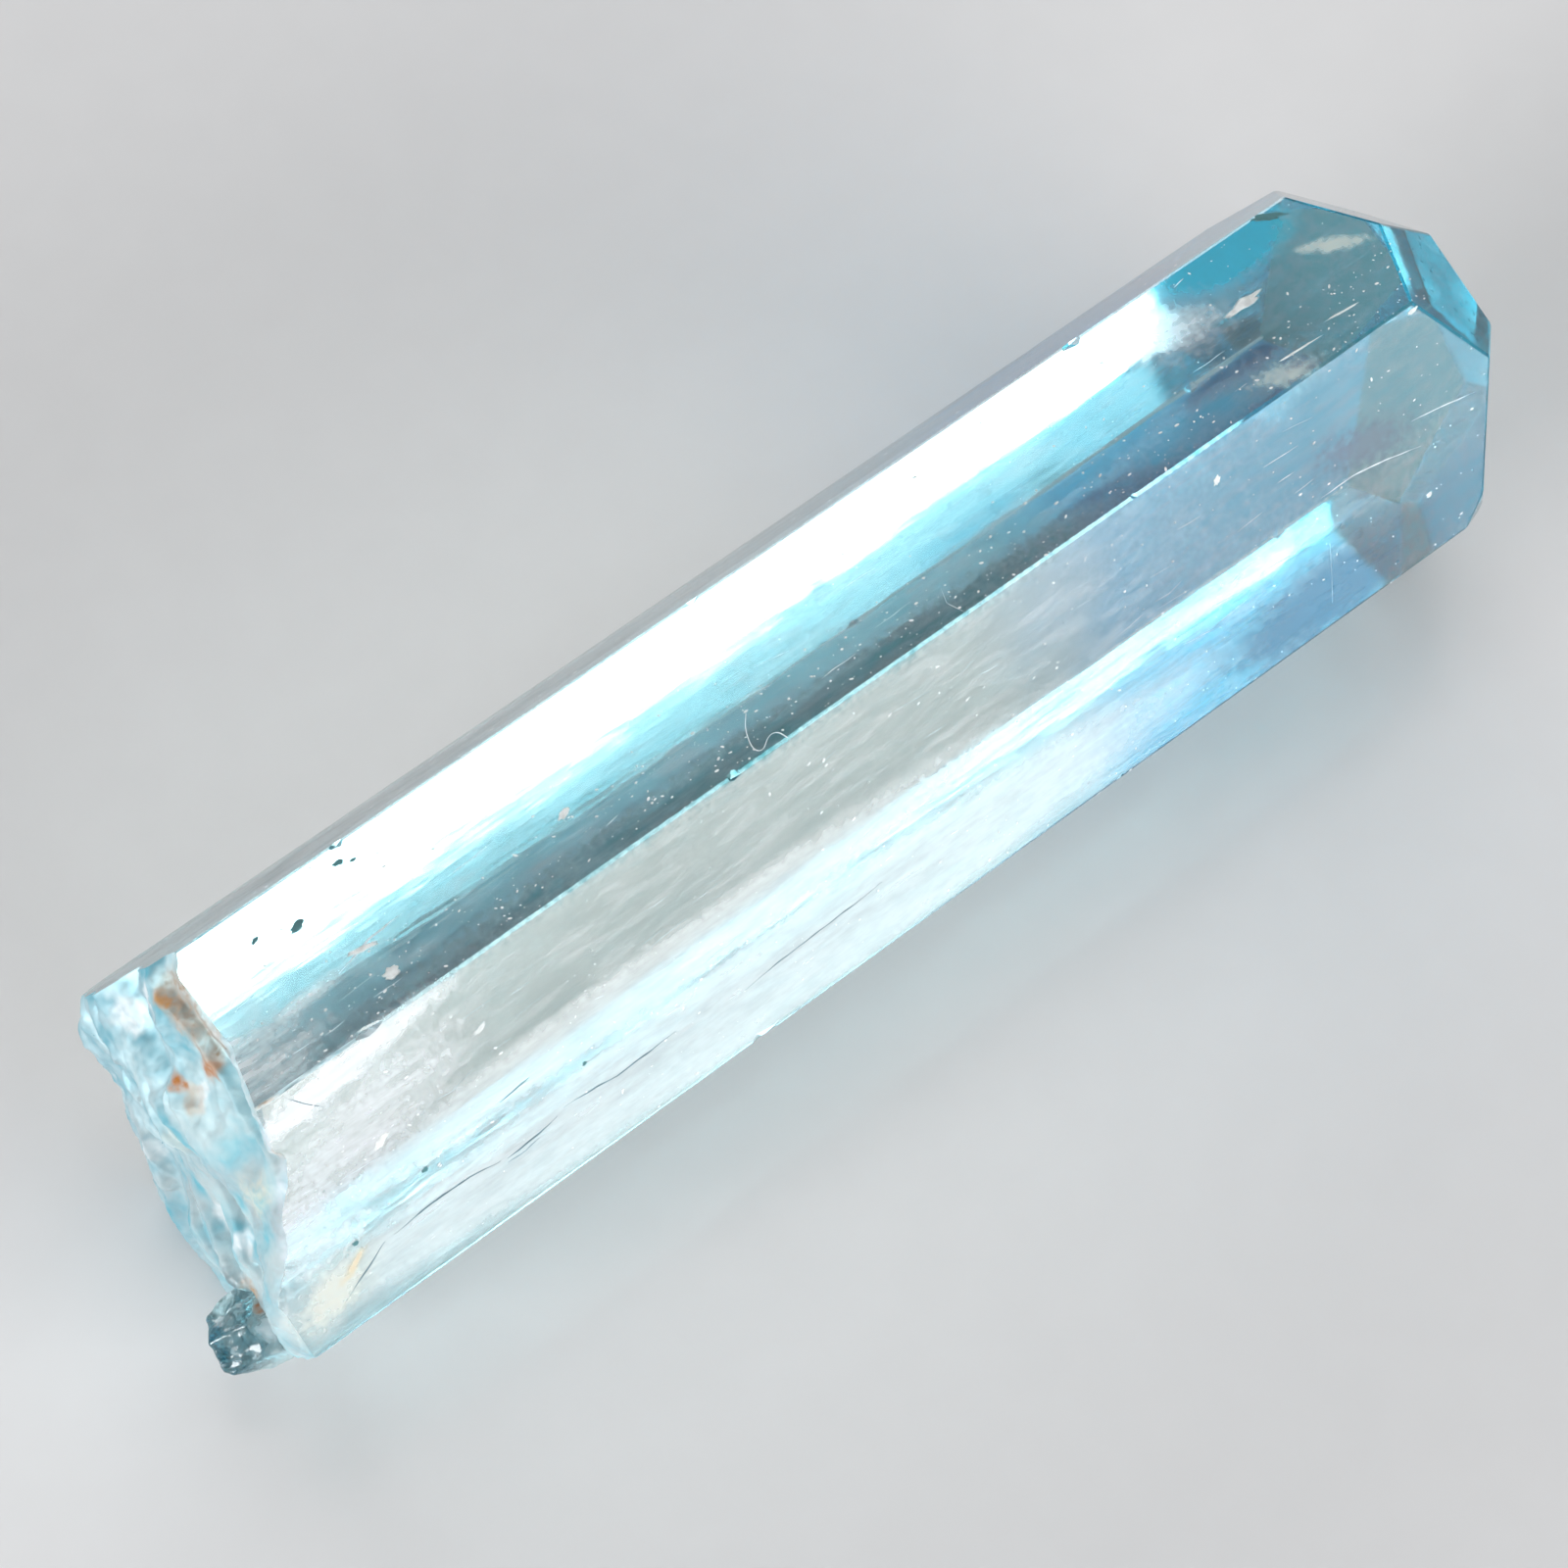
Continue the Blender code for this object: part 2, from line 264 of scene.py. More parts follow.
BREAK_STAINS_AND_GLINTS = (
    # Painted glints: the frost white patches stand for light glinting on the break's steps, laid as crushed
    # frosted spots.
    StainAndGlint((-13.05, 2.35, 5.75), (0.45, 0.60, 0.45), FROST_AND_GLINT, 0.75),
    StainAndGlint((-12.80, 1.97, 6.75), (0.35, 0.32, 0.50), FROST_AND_GLINT, 0.80),
    StainAndGlint((-13.51, -0.67, 3.05), (0.38, 0.38, 0.34), FROST_AND_GLINT, 0.85),
    StainAndGlint((-13.62, -1.57, 3.60), (0.34, 0.28, 0.52), FROST_AND_GLINT, 0.85),
    StainAndGlint((-13.00, 0.06, 6.41), (0.32, 0.22, 0.40), FROST_AND_GLINT, 0.80),
    StainAndGlint((-14.04, -2.55, 2.15), (0.40, 0.30, 0.50), FROST_AND_GLINT, 0.75),
    StainAndGlint((-13.64, 1.41, 2.29), (0.40, 0.40, 0.40), FROST_AND_GLINT, 0.70),
    StainAndGlint((-12.45, 1.20, 7.55), (0.65, 0.95, 0.70), TAN, 0.95),
    StainAndGlint((-12.45, 0.30, 7.50), (0.55, 0.70, 0.65), TAN, 0.95),
    StainAndGlint((-12.72, 0.08, 7.05), (0.40, 0.34, 0.52), RUST, 1.00, 0.15),
    StainAndGlint((-13.23, 0.50, 6.18), (0.35, 0.34, 0.28), RUST, 1.00),
    StainAndGlint((-12.75, 1.45, 7.35), (0.26, 0.28, 0.30), OCHRE, 1.00),
    StainAndGlint((-13.20, 0.10, 6.15), (0.35, 0.30, 0.45), OCHRE, 0.70),
    StainAndGlint((-12.50, -1.42, 7.70), (0.36, 0.20, 0.34), OCHRE, 0.90, 0.6),
    StainAndGlint((-12.72, -1.86, 7.05), (0.26, 0.20, 0.40), OCHRE, 0.95, 0.6),
    StainAndGlint((-13.90, -1.93, 2.67), (0.40, 0.34, 0.30), OCHRE, 0.95),
    StainAndGlint((-13.92, -2.21, 2.38), (0.30, 0.28, 0.28), RUST, 1.00),
    StainAndGlint((-13.30, -1.70, 5.60), (0.50, 0.55, 0.80), CREAM, 0.55, 0.6),
    StainAndGlint((-13.60, 0.38, 4.55), (0.40, 0.45, 0.45), CREAM, 0.45, 0.6),
)


@dataclass(frozen=True)
class FaceMark:
    """A soft tint on one of the flat faces: a veil, a stain, painted shade, painted light or a painted
    reflection seen through the face.

    Its place is its middle, its reach is along the mark and across it, and its turn is in the plane of
    the face, from +X, in degrees. Its depth is the share of the tint at its middle, which holds over its
    core and has faded out at its reach. It is ragged where its rim breaks up into grains, and streaked
    where it is worn away along the growth lines. It is opaque where it stops light rather than tinting
    it.
    """

    face: CrystalFace
    place: Pair
    reach: Pair
    turn: float
    tint: Triple
    depth: float
    core: float = 0.3
    ragged: float = 0.9
    streaked: float = 0.0
    opaque: float = 1.0


MILKY_PAINTED_LIGHT = (0.86, 0.94, 0.96)
PEARL = (0.88, 0.93, 1.00)
LAVENDER = (0.78, 0.80, 0.92)
IVORY = (0.92, 0.88, 0.74)
GOLD = (0.95, 0.62, 0.25)
SLATE = (0.04, 0.42, 0.56)
DEEP_BLUE = (0.02, 0.12, 0.19)
AZURE = (0.04, 0.50, 0.70)
PLUM = (0.09, 0.15, 0.25)
SEA_GREEN = (0.06, 0.32, 0.36)
TEAL = (0.06, 0.58, 0.80)
CYAN = (0.00, 0.74, 1.00)

TOP, FRONT = CrystalFace.TOP, CrystalFace.FRONT_UPPER

FACE_MARKS = (
    # Painted shade: slate, deep blue and azure patches near the tip of the front face, which darken and
    # tint what is seen through it.
    FaceMark(FRONT, (11.6, 1.20), (7.60, 2.40), 0.0, SLATE, 1.00, 0.35, 0.60, 0.2, 0.18),
    FaceMark(FRONT, (9.6, -1.95), (4.20, 1.30), 0.0, DEEP_BLUE, 1.00, 0.35, 0.50, 0.0, 0.06),
    FaceMark(FRONT, (12.9, -1.80), (2.60, 1.40), 0.0, AZURE, 1.00, 0.25, 0.70, 0.2, 0.10),
    # Painted light: milky bands along the front face, where a bright band of light refracted through the
    # crystal shows.
    FaceMark(FRONT, (-4.0, -1.65), (12.5, 1.25), 0.0, MILKY_PAINTED_LIGHT, 0.46, 0.6, 0.15, 0.3),
    FaceMark(FRONT, (-5.5, -0.10), (10.5, 0.80), 0.0, MILKY_PAINTED_LIGHT, 0.42, 0.5, 0.40, 0.3),
    FaceMark(FRONT, (-11.2, 2.15), (3.40, 0.50), 7.0, PEARL, 0.80, 0.3, 0.70, 0.45),
    FaceMark(FRONT, (-11.3, 0.90), (3.40, 1.60), 15.0, LAVENDER, 0.50, 0.1, 0.80, 0.5),
    FaceMark(FRONT, (-13.0, -0.20), (1.80, 2.00), 25.0, PEARL, 0.55, 0.1, 1.10, 0.5),
    FaceMark(FRONT, (-13.0, -1.65), (1.50, 0.85), 25.0, CREAM, 0.62, 0.1, 0.50, 0.2),
    FaceMark(FRONT, (-12.5, -1.42), (0.55, 0.15), 30.0, GOLD, 0.60, 0.1, 0.60),
    # Painted shade: a dark plum patch near the tip of the front face.
    FaceMark(FRONT, (11.1, 0.45), (1.70, 0.75), -15.0, PLUM, 1.00, 0.1, 0.90, 0.2, 0.40),
    # Painted shade: a dark sea green band along the top near the front ridge and teal patches towards the
    # tip, where the shaded floor under the crystal shows through.
    FaceMark(TOP, (-1.5, -0.95), (12.5, 0.50), 0.0, SEA_GREEN, 1.00, 0.3, 0.70, 0.4, 0.30),
    FaceMark(TOP, (8.6, -0.75), (3.60, 0.60), 0.0, TEAL, 1.00, 0.35, 0.70, 0.3, 0.32),
    FaceMark(TOP, (12.4, 0.20), (2.60, 2.20), 0.0, TEAL, 0.60, 0.5, 0.40, 0.3, 0.12),
    FaceMark(TOP, (-11.0, -0.05), (1.45, 0.24), 2.0, FROST_AND_GLINT, 0.60, 0.1, 0.70, 0.5),
    FaceMark(TOP, (-12.5, -0.40), (2.20, 1.70), -10.0, FROST_AND_GLINT, 0.70, 0.1, 0.80, 0.7),
    # Painted light: a cyan patch near the tip of the top face, coloured like the refracted light seen
    # through there.
    FaceMark(TOP, (10.9, 1.75), (2.20, 0.90), 0.0, CYAN, 1.00, 0.5, 0.40, 0.0, 0.32),
    FaceMark(TOP, (9.0, 1.15), (1.70, 0.95), -15.0, PEARL, 0.65, 0.0, 0.80, 0.3),
    # Painted reflection: the ivory streak near the tip stands for light from behind reflected inside the
    # crystal, laid as a cream veil.
    FaceMark(TOP, (12.63, 0.66), (1.00, 0.24), -26.6, IVORY, 0.80, 0.2, 0.80, 0.3),
    FaceMark(TOP, (10.05, -0.88), (1.25, 0.46), -15.0, IVORY, 0.75, 0.0, 1.00, 0.3),
)


@dataclass(frozen=True)
class CrystalFinish:
    """Clear pale blue beryl: how it absorbs light, its gloss, its growth relief, its films and stains,
    and the painted shade, painted light and painted reflection laid on its faces.

    Stretches are in millimetres along X, or along Y where they are named so.
    """

    absorbed: Triple = (0.310, 0.870, 0.955)
    density: float = 75.0
    ior: float = 1.577

    # Painted shade on the faces that look back, down and out of the grown end: deep blue towards the tip,
    # dark teal on the grown end and the underside, and a tint that cuts red on the lower back. It darkens
    # and colours what is seen through the crystal.
    tip_tint: Triple = (0.015, 0.42, 0.78)
    tip_stretch: Pair = (5.5, 11.0)
    tip_drift: float = 5.0
    drift_scale: float = 0.45
    end_tint: Triple = (0.015, 0.18, 0.21)
    rear_tint: Triple = (1.0, 0.73, 0.61)
    underside: Triple = (0.03, 0.17, 0.24)
    underside_rise_in_y: Pair = (-0.8, -0.4)
    underside_fade: Pair = (7.0, 10.5)
    underside_at_tip: float = 0.25
    root_clearing: Pair = (-12.5, -8.5)
    underside_at_root: float = 0.2

    limits: tuple[tuple[CrystalFace, float], ...] = ()
    mark_depth: float = 0.4
    grain_scale: float = 6.0
    film: float = 0.15
    film_range: Pair = (0.42, 0.75)
    worn_range: Pair = (0.30, 0.70)
    streak_stretch: Triple = (0.22, 1.0, 1.0)
    streak_scale: float = 4.0

    gloss: float = 0.06
    root_haze: float = 0.15
    haze_stretch: Pair = (-12.0, 10.0)
    patch_scale: float = 0.9
    wear: Pair = (0.7, 1.3)
    fracture_roughness: float = 0.78
    least_frosted: float = 0.7
    stain_roughness: float = 0.6

    relief: float = 0.015
    relief_stretch: Pair = (-12.0, 8.0)
    relief_at_tip: float = 0.16
    striae_stretch: Triple = (0.16, 1.0, 1.0)
    striae_scale: float = 3.0

    def make(self) -> bpy.types.Material:
        """Return the crystal's material, with its films, stains, painted shade and light, gloss, relief and
        inside.

        Returns:
            The material.
        """
        sheet = NodeSheet("aquamarine_beryl")
        point = sheet.millimetres()
        tint, stopped = self.stains_and_painted_light(sheet, point)
        shader = sheet.shader
        sheet.feed(shader.inputs["Base Color"], tint)
        sheet.feed(shader.inputs["Roughness"], self.roughness(sheet, point, stopped))
        sheet.feed(shader.inputs["Normal"], self.growth_relief(sheet, point))
        sheet.feed(shader.inputs["Transmission Weight"], sheet.maths("SUBTRACT", 1.0, stopped))
        shader.inputs["IOR"].default_value = self.ior
        inside = sheet.node("VolumeAbsorption")
        inside.inputs["Color"].default_value = colour(*self.absorbed)
        inside.inputs["Density"].default_value = self.density
        sheet.tree.links.new(inside.outputs[0], sheet.output.inputs["Volume"])
        return sheet.material

    def stains_and_painted_light(self, sheet: NodeSheet, point: object) -> tuple[object, object]:
        """Lay out the surface's tint: the painted shade of the hidden faces, the milky film, the break's
        stains and painted glints, and the marks, many of which are painted shade and painted light.

        Args:
            sheet: The material's node sheet.
            point: The point on the crystal, in millimetres.

        Returns:
            The tint, and the share of the light that the stains stop.
        """
        tint = self.painted_shade_zones(sheet, point)
        streaks = sheet.clouds(sheet.stretched(point, self.streak_stretch), self.streak_scale, 3.0, 0.65)
        film = sheet.rise(streaks, *self.film_range, 0.0, self.film)
        tint = sheet.blend(film, tint, colour(*FILM))
        grain = sheet.clouds(point, self.grain_scale, 1.0, 0.6)
        spots = sheet.node("Attribute", attribute_name=BREAK_TINT).outputs
        tint = sheet.blend(spots["Alpha"], tint, spots["Color"])
        stopped: object = sheet.either(film, spots["Alpha"])
        for mark in FACE_MARKS:
            share = self.mark_share(sheet, point, grain, mark)
            if mark.streaked:
                worn = sheet.rise(streaks, *self.worn_range, 1.0 - mark.streaked, 1.0)
                share = sheet.maths("MULTIPLY", share, worn)
            tint = sheet.blend(share, tint, colour(*mark.tint))
            stopped = sheet.either(stopped, sheet.maths("MULTIPLY", share, mark.opaque))
        return tint, stopped

    def mark_share(self, sheet: NodeSheet, point: object, grain: object, mark: FaceMark) -> object:
        """Lay out where a mark lies, as a flat ellipse with a ragged rim.

        Args:
            sheet: The material's node sheet.
            point: The point on the crystal, in millimetres.
            grain: The fine noise that breaks up the rim.
            mark: The mark.

        Returns:
            The share of the mark's tint, from zero to the mark's depth.
        """
        inputs = {"Vector": point, "Location": self.middle(mark), "Scale": (*mark.reach, self.mark_depth)}
        inputs["Rotation"] = mark.face.lie(mark.turn).to_euler("XYZ")
        shape = sheet.node("Mapping", inputs, vector_type="TEXTURE").outputs[0]
        distance = sheet.node("VectorMath", {0: shape}, operation="LENGTH").outputs["Value"]
        ragged = sheet.maths("MULTIPLY_ADD", grain, mark.ragged, distance)
        mean_grain = 0.5 * mark.ragged
        return sheet.rise(ragged, mark.core + mean_grain, 1.0 + mean_grain, mark.depth, 0.0)

    def painted_shade_zones(self, sheet: NodeSheet, point: object) -> object:
        """Lay out the painted shade on the crystal's hidden faces, which darkens and tints what is seen
        through them, deepest towards the tip and on the underside.

        Args:
            sheet: The material's node sheet.
            point: The point on the crystal, in millimetres.

        Returns:
            The tint.
        """
        place = sheet.node("SeparateXYZ", {0: point}).outputs
        sides = sheet.node("Attribute", attribute_name=SIDES).outputs
        lower_back, below, end = sheet.node("SeparateColor", {0: sides["Color"]}).outputs
        drift = sheet.clouds(point, self.drift_scale, 1.0)
        drift = sheet.maths("MULTIPLY_ADD", drift, self.tip_drift, place["X"])
        tip = sheet.rise(drift, *self.tip_stretch)
        hidden = sheet.either(sheet.either(lower_back, below), sides["Alpha"])
        tint = sheet.blend(lower_back, colour(1.0, 1.0, 1.0), colour(*self.rear_tint))
        tint = sheet.blend(sheet.maths("MULTIPLY", tip, hidden), tint, colour(*self.tip_tint))
        behind = sheet.rise(place["Y"], *self.underside_rise_in_y)
        fading = sheet.rise(drift, *self.underside_fade, 1.0, self.underside_at_tip)
        clearing = sheet.rise(place["X"], *self.root_clearing, self.underside_at_root, 1.0)
        rooted = sheet.maths("MULTIPLY", below, clearing)
        under = sheet.maths("MULTIPLY", rooted, sheet.maths("MULTIPLY", behind, fading))
        tint = sheet.blend(under, tint, colour(*self.underside))
        return sheet.blend(end, tint, colour(*self.end_tint))

    def middle(self, mark: FaceMark) -> Vector:
        """Return a mark's middle, in millimetres.

        Args:
            mark: The mark.

        Returns:
            Its middle, in the plane of its face.
        """
        along, across = mark.place
        limit = dict(self.limits)[mark.face]
        side = mark.face.outward()
        rise = limit - side.dot(Vector((0.0, AXIS_SIDE, AXIS_HEIGHT)))
        return Vector((along, AXIS_SIDE, AXIS_HEIGHT)) + mark.face.onward() * across + side * rise

    def roughness(self, sheet: NodeSheet, point: object, stopped: object) -> object:
        """Lay out the gloss: clear faces, hazier towards the root, a frosted break and dull stains.

        Args:
            sheet: The material's node sheet.
            point: The point on the crystal, in millimetres.
            stopped: The share of the stains.

        Returns:
            The roughness.
        """
        patches = sheet.clouds(point, self.patch_scale, 1.0)
        along = sheet.node("SeparateXYZ", {0: point}).outputs["X"]
        worn = sheet.rise(patches, 0.3, 0.7, *self.wear)
        haze = sheet.rise(along, *self.haze_stretch, self.root_haze, self.gloss)
        clear = sheet.maths("MULTIPLY", haze, worn)
        broken = sheet.node("Attribute", attribute_name=FRACTURE).outputs["Fac"]
        smoothest = self.least_frosted * self.fracture_roughness
        frost = sheet.rise(patches, 0.35, 0.65, smoothest, self.fracture_roughness)
        rough = sheet.either(clear, sheet.maths("MULTIPLY", broken, frost))
        return sheet.either(rough, sheet.maths("MULTIPLY", stopped, self.stain_roughness))

    def growth_relief(self, sheet: NodeSheet, point: object) -> object:
        """Lay out the faint relief of the growth faces, stronger near the root.

        Args:
            sheet: The material's node sheet.
            point: The point on the crystal, in millimetres.

        Returns:
            The shading normal.
        """
        along = sheet.node("SeparateXYZ", {0: point}).outputs["X"]
        rooted = sheet.rise(along, *self.relief_stretch, 1.0, self.relief_at_tip)
        striae = sheet.clouds(sheet.stretched(point, self.striae_stretch), self.striae_scale, 2.0, 0.6)
        inputs = {"Height": sheet.maths("MULTIPLY", striae, rooted), "Distance": self.relief * MM}
        return sheet.node("Bump", inputs).outputs[0]


@dataclass(frozen=True)
class SpeckFinish:
    """Matt dust, lint or a fleck of mineral, a little uneven in tone."""

    name: str
    tone: Triple
    roughness: float = 0.8
    scale: float = 6.0
    darkest: float = 0.72

    def make(self) -> bpy.types.Material:
        """Return the speck's material.

        Returns:
            The material.
        """
        sheet = NodeSheet(self.name)
        shade = sheet.rise(sheet.clouds(sheet.millimetres(), self.scale, 2.0), 0.3, 0.7)
        dark = tuple(self.darkest * part for part in self.tone)
        sheet.feed(sheet.shader.inputs["Base Color"], sheet.blend(shade, colour(*dark), colour(*self.tone)))
        sheet.shader.inputs["Roughness"].default_value = self.roughness
        return sheet.material


@dataclass
class Piece:
    """A finished mesh that rides on the crystal's body."""

    name: str

    def finish_mesh(self, builder: bmesh.types.BMesh, material: bpy.types.Material) -> bpy.types.Object:
        """Turn a mesh builder into a piece.

        Args:
            builder: The finished shape, in metres.
            material: The piece's material.

        Returns:
            The piece, at the origin, riding on the body.
        """
        mesh = bpy.data.meshes.new(self.name)
        builder.to_mesh(mesh)
        builder.free()
        mesh.materials.append(material)
        item = bpy.data.objects.new(self.name, mesh)
        bpy.context.scene.collection.objects.link(item)
        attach(item, BODY_NAME)
        return item


@dataclass
class CrystalSkin(Piece):
    """The crystal with a fine break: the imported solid's shape, with more detail where it is broken.

    The relief is a list of noises, each by its features in a millimetre and its height. The bruise is
    the break's milky blue, which is pale in patches and deep towards the back. The stub is the small
    crystal in the break's lower corner, which stays glassy.
    """

    name: str = "aquamarine_skin"
    merge: float = 0.0002
    flat_angle: float = 0.2
    aligned: float = 0.99995
    fracture_end: float = -11.0
    rounds: int = 5
    longest: float = 0.07
    smoothing: float = 0.5
    smooth_rounds: int = 2
    relief: tuple[Pair, ...] = ((1.8, 0.046), (4.5, 0.016), (10.0, 0.006))
    sharp: float = 35.0

    bruise: Triple = (0.10, 0.42, 0.52)
    pale_bruise: Triple = (0.42, 0.62, 0.66)
    deep_bruise: Triple = (0.03, 0.27, 0.37)
    deep_start: float = -1.2
    deep_span: float = 3.4
    deepest: float = 0.75
    patch_place: Triple = (3.0, 7.0, 1.0)
    bruising: float = 0.95
    stub: Triple = (-14.5, -2.1, 1.8)
    stub_reach: float = 1.3
    stub_gloss: float = 0.8
    finish: CrystalFinish = field(default_factory=CrystalFinish)

    def build(self) -> bpy.types.Object:
        """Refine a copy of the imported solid, mark it and dress it.

        Returns:
            The crystal, which replaces the solid in the picture.
        """
        shape = bmesh.new()
        shape.from_mesh(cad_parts[NODE_NAME].data)
        bmesh.ops.remove_doubles(shape, verts=shape.verts, dist=self.merge * MM)
        layer = self.find_break(shape)
        self.clean_faces(shape, layer)
        self.refine(shape, layer)
        self.roughen(shape, layer)
        self.mark(shape, layer)
        limits = self.face_limits(shape)
        finish = replace(self.finish, limits=tuple((side, limit / MM) for side, limit in limits.items()))
        item = self.finish_mesh(shape, finish.make())
        flat = [not polygon.use_smooth for polygon in item.data.polygons]
        item.data.set_sharp_from_angle(angle=math.radians(self.sharp))
        item.data.polygons.foreach_set("use_smooth", [not value for value in flat])
        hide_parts(NODE_NAME)
        return item

    def find_break(self, shape: bmesh.types.BMesh) -> bmesh.types.BMLayerItem:
        """Write which faces are broken in a face attribute.

        Args:
            shape: The crystal's mesh.

        Returns:
            The attribute's layer, which is one on the rough break and zero on the growth faces.
        """
        layer = shape.faces.layers.float.new(FRACTURE)
        shape.normal_update()
        for face in shape.faces:
            grown = max(face.normal.dot(side.outward()) for side in CrystalFace) > self.aligned
            near = face.calc_center_median().x < self.fracture_end * MM
            face[layer] = 1.0 if near and not grown else 0.0
        return layer

    def broken_faces(
        self, shape: bmesh.types.BMesh, layer: bmesh.types.BMLayerItem
    ) -> list[bmesh.types.BMFace]:
        """Return the faces of the rough break."""
        return [face for face in shape.faces if face[layer] > 0.5]

    def clean_faces(self, shape: bmesh.types.BMesh, layer: bmesh.types.BMLayerItem) -> None:
        """Join the triangles of each flat face of the crystal.

        Args:
            shape: The crystal's mesh.
            layer: The break's face layer.
        """
        kept = [edge for edge in shape.edges if all(face[layer] < 0.5 for face in edge.link_faces)]
        verts = list({vert for edge in kept for vert in edge.verts})
        bmesh.ops.dissolve_limit(shape, angle_limit=math.radians(self.flat_angle), verts=verts, edges=kept)

    def refine(self, shape: bmesh.types.BMesh, layer: bmesh.types.BMLayerItem) -> None:
        """Split the break's long edges until its facets are fine.

        Args:
            shape: The crystal's mesh.
            layer: The break's face layer.
        """
        for _ in range(self.rounds):
            edges = {edge for face in self.broken_faces(shape, layer) for edge in face.edges}
            long = [edge for edge in edges if edge.calc_length() > self.longest * MM]
            bmesh.ops.subdivide_edges(shape, edges=long, cuts=1)
            bmesh.ops.triangulate(shape, faces=self.broken_faces(shape, layer))

    def face_limits(self, shape: bmesh.types.BMesh) -> dict[CrystalFace, float]:
        """Return how far out each face of the prism lies, in metres from the origin."""
        return {side: max(vert.co.dot(side.outward()) for vert in shape.verts) for side in CrystalFace}

    def roughen(self, shape: bmesh.types.BMesh, layer: bmesh.types.BMLayerItem) -> None:
        """Round the break's coarse facets and give it a fine broken relief.

        Args:
            shape: The crystal's mesh, whose break is already fine.
            layer: The break's face layer.
        """
        limits = self.face_limits(shape)
        members = {vert for face in self.broken_faces(shape, layer) for vert in face.verts}
        inner = [vert for vert in members if all(face[layer] > 0.5 for face in vert.link_faces)]
        for _ in range(self.smooth_rounds):
            bmesh.ops.smooth_vert(
                shape, verts=inner, factor=self.smoothing, use_axis_x=True, use_axis_y=True, use_axis_z=True
            )
        shape.normal_update()
        lifts = [(vert, vert.normal * self.lift(vert.co / MM)) for vert in inner]
        for vert, lift in lifts:
            vert.co += lift * MM
            for side, limit in limits.items():
                over = vert.co.dot(side.outward()) - limit
                vert.co -= side.outward() * max(0.0, over)

    def lift(self, point: Vector) -> float:
        """Return the height of the break's fine relief at a point.

        Args:
            point: The point, in millimetres.

        Returns:
            The height, in millimetres, with sharp crests where the noises cross zero.
        """
        grain = Vector((point.x, 1.3 * point.y + 0.5 * point.z, 0.6 * point.z - 0.3 * point.y))
        return sum(size * (0.5 - 2.0 * abs(noise.noise(grain * scale))) for scale, size in self.relief)

    def mark(self, shape: bmesh.types.BMesh, layer: bmesh.types.BMLayerItem) -> None:
        """Shade the break smooth, and write its stains and painted glints, and which way each face looks
        for its painted shade.

        Args:
            shape: The crystal's mesh.
            layer: The break's face layer.
        """
        spots = shape.loops.layers.float_color.new(BREAK_TINT)
        sides = shape.faces.layers.float_color.new(SIDES)
        for face in shape.faces:
            broken = face[layer] > 0.5
            face.smooth = broken
            glass = self.stub_gloss * self.glassy(face.calc_center_median() / MM) if broken else 0.0
            face[sides] = self.looks(face, glass)
            face[layer] *= 1.0 - glass
            for loop in face.loops:
                loop[spots] = self.spot(loop.vert.co / MM) if broken else (1.0, 1.0, 1.0, 0.0)

    def looks(self, face: bmesh.types.BMFace, glass: float) -> tuple[float, float, float, float]:
        """Return which way a face looks.

        Args:
            face: The face.
            glass: How glassy it is, which counts as looking out of the grown end.

        Returns:
            The lower back, the bottom, the grown end and the upper back, each from zero to one.
        """
        lower, below, upper = (
            float(face.normal.dot(side.outward()) > 0.9)
            for side in (CrystalFace.BACK_LOWER, CrystalFace.BOTTOM, CrystalFace.BACK_UPPER)
        )
        return (lower, below, max(float(face.normal.x > 0.3), glass), upper)

    def glassy(self, point: Vector) -> float:
        """Return how glassy the break is at a point, from none to one on the corner's stub."""
        return clamped(2.0 - 2.0 * (point - Vector(self.stub)).length / self.stub_reach)

    def spot(self, point: Vector) -> tuple[float, float, float, float]:
        """Return the tint at a point on the break, and the share of light it stops.

        Args:
            point: The point, in millimetres.

        Returns:
            The red, green and blue of the tint, and the share.
        """
        stray = noise.noise_vector(point * 2.6) * 0.16 + noise.noise_vector(point * 7.0) * 0.08
        patch = noise.noise(point * 1.1 + Vector(self.patch_place)) + 0.25 * noise.noise(point * 4.0)
        pale = clamped(0.35 + 1.6 * patch)
        deep = clamped((point.y - self.deep_start) / self.deep_span)
        tint = Vector(self.bruise).lerp(Vector(self.pale_bruise), pale)
        tint = tint.lerp(Vector(self.deep_bruise), self.deepest * deep)
        held = self.bruising * (0.75 + 0.5 * noise.noise(point * 1.7) + 0.15 * noise.noise(point * 6.0))
        held *= 1.0 - self.glassy(point)
        # The frost white ones among these are painted glints; the rest are mineral stains.
        for stain in BREAK_STAINS_AND_GLINTS:
            share = min(1.0, stain.share(point + stray))
            tint = tint.lerp(Vector(stain.tint), share)
            held = max(held, share)
        return (*tint, clamped(held))


@dataclass(frozen=True)
class Patch:
    """A stretch of one face that holds dust: its ends along the axis, its width and how many specks."""

    face: CrystalFace
    start: float
    end: float
    centre: float
    width: float
    count: int


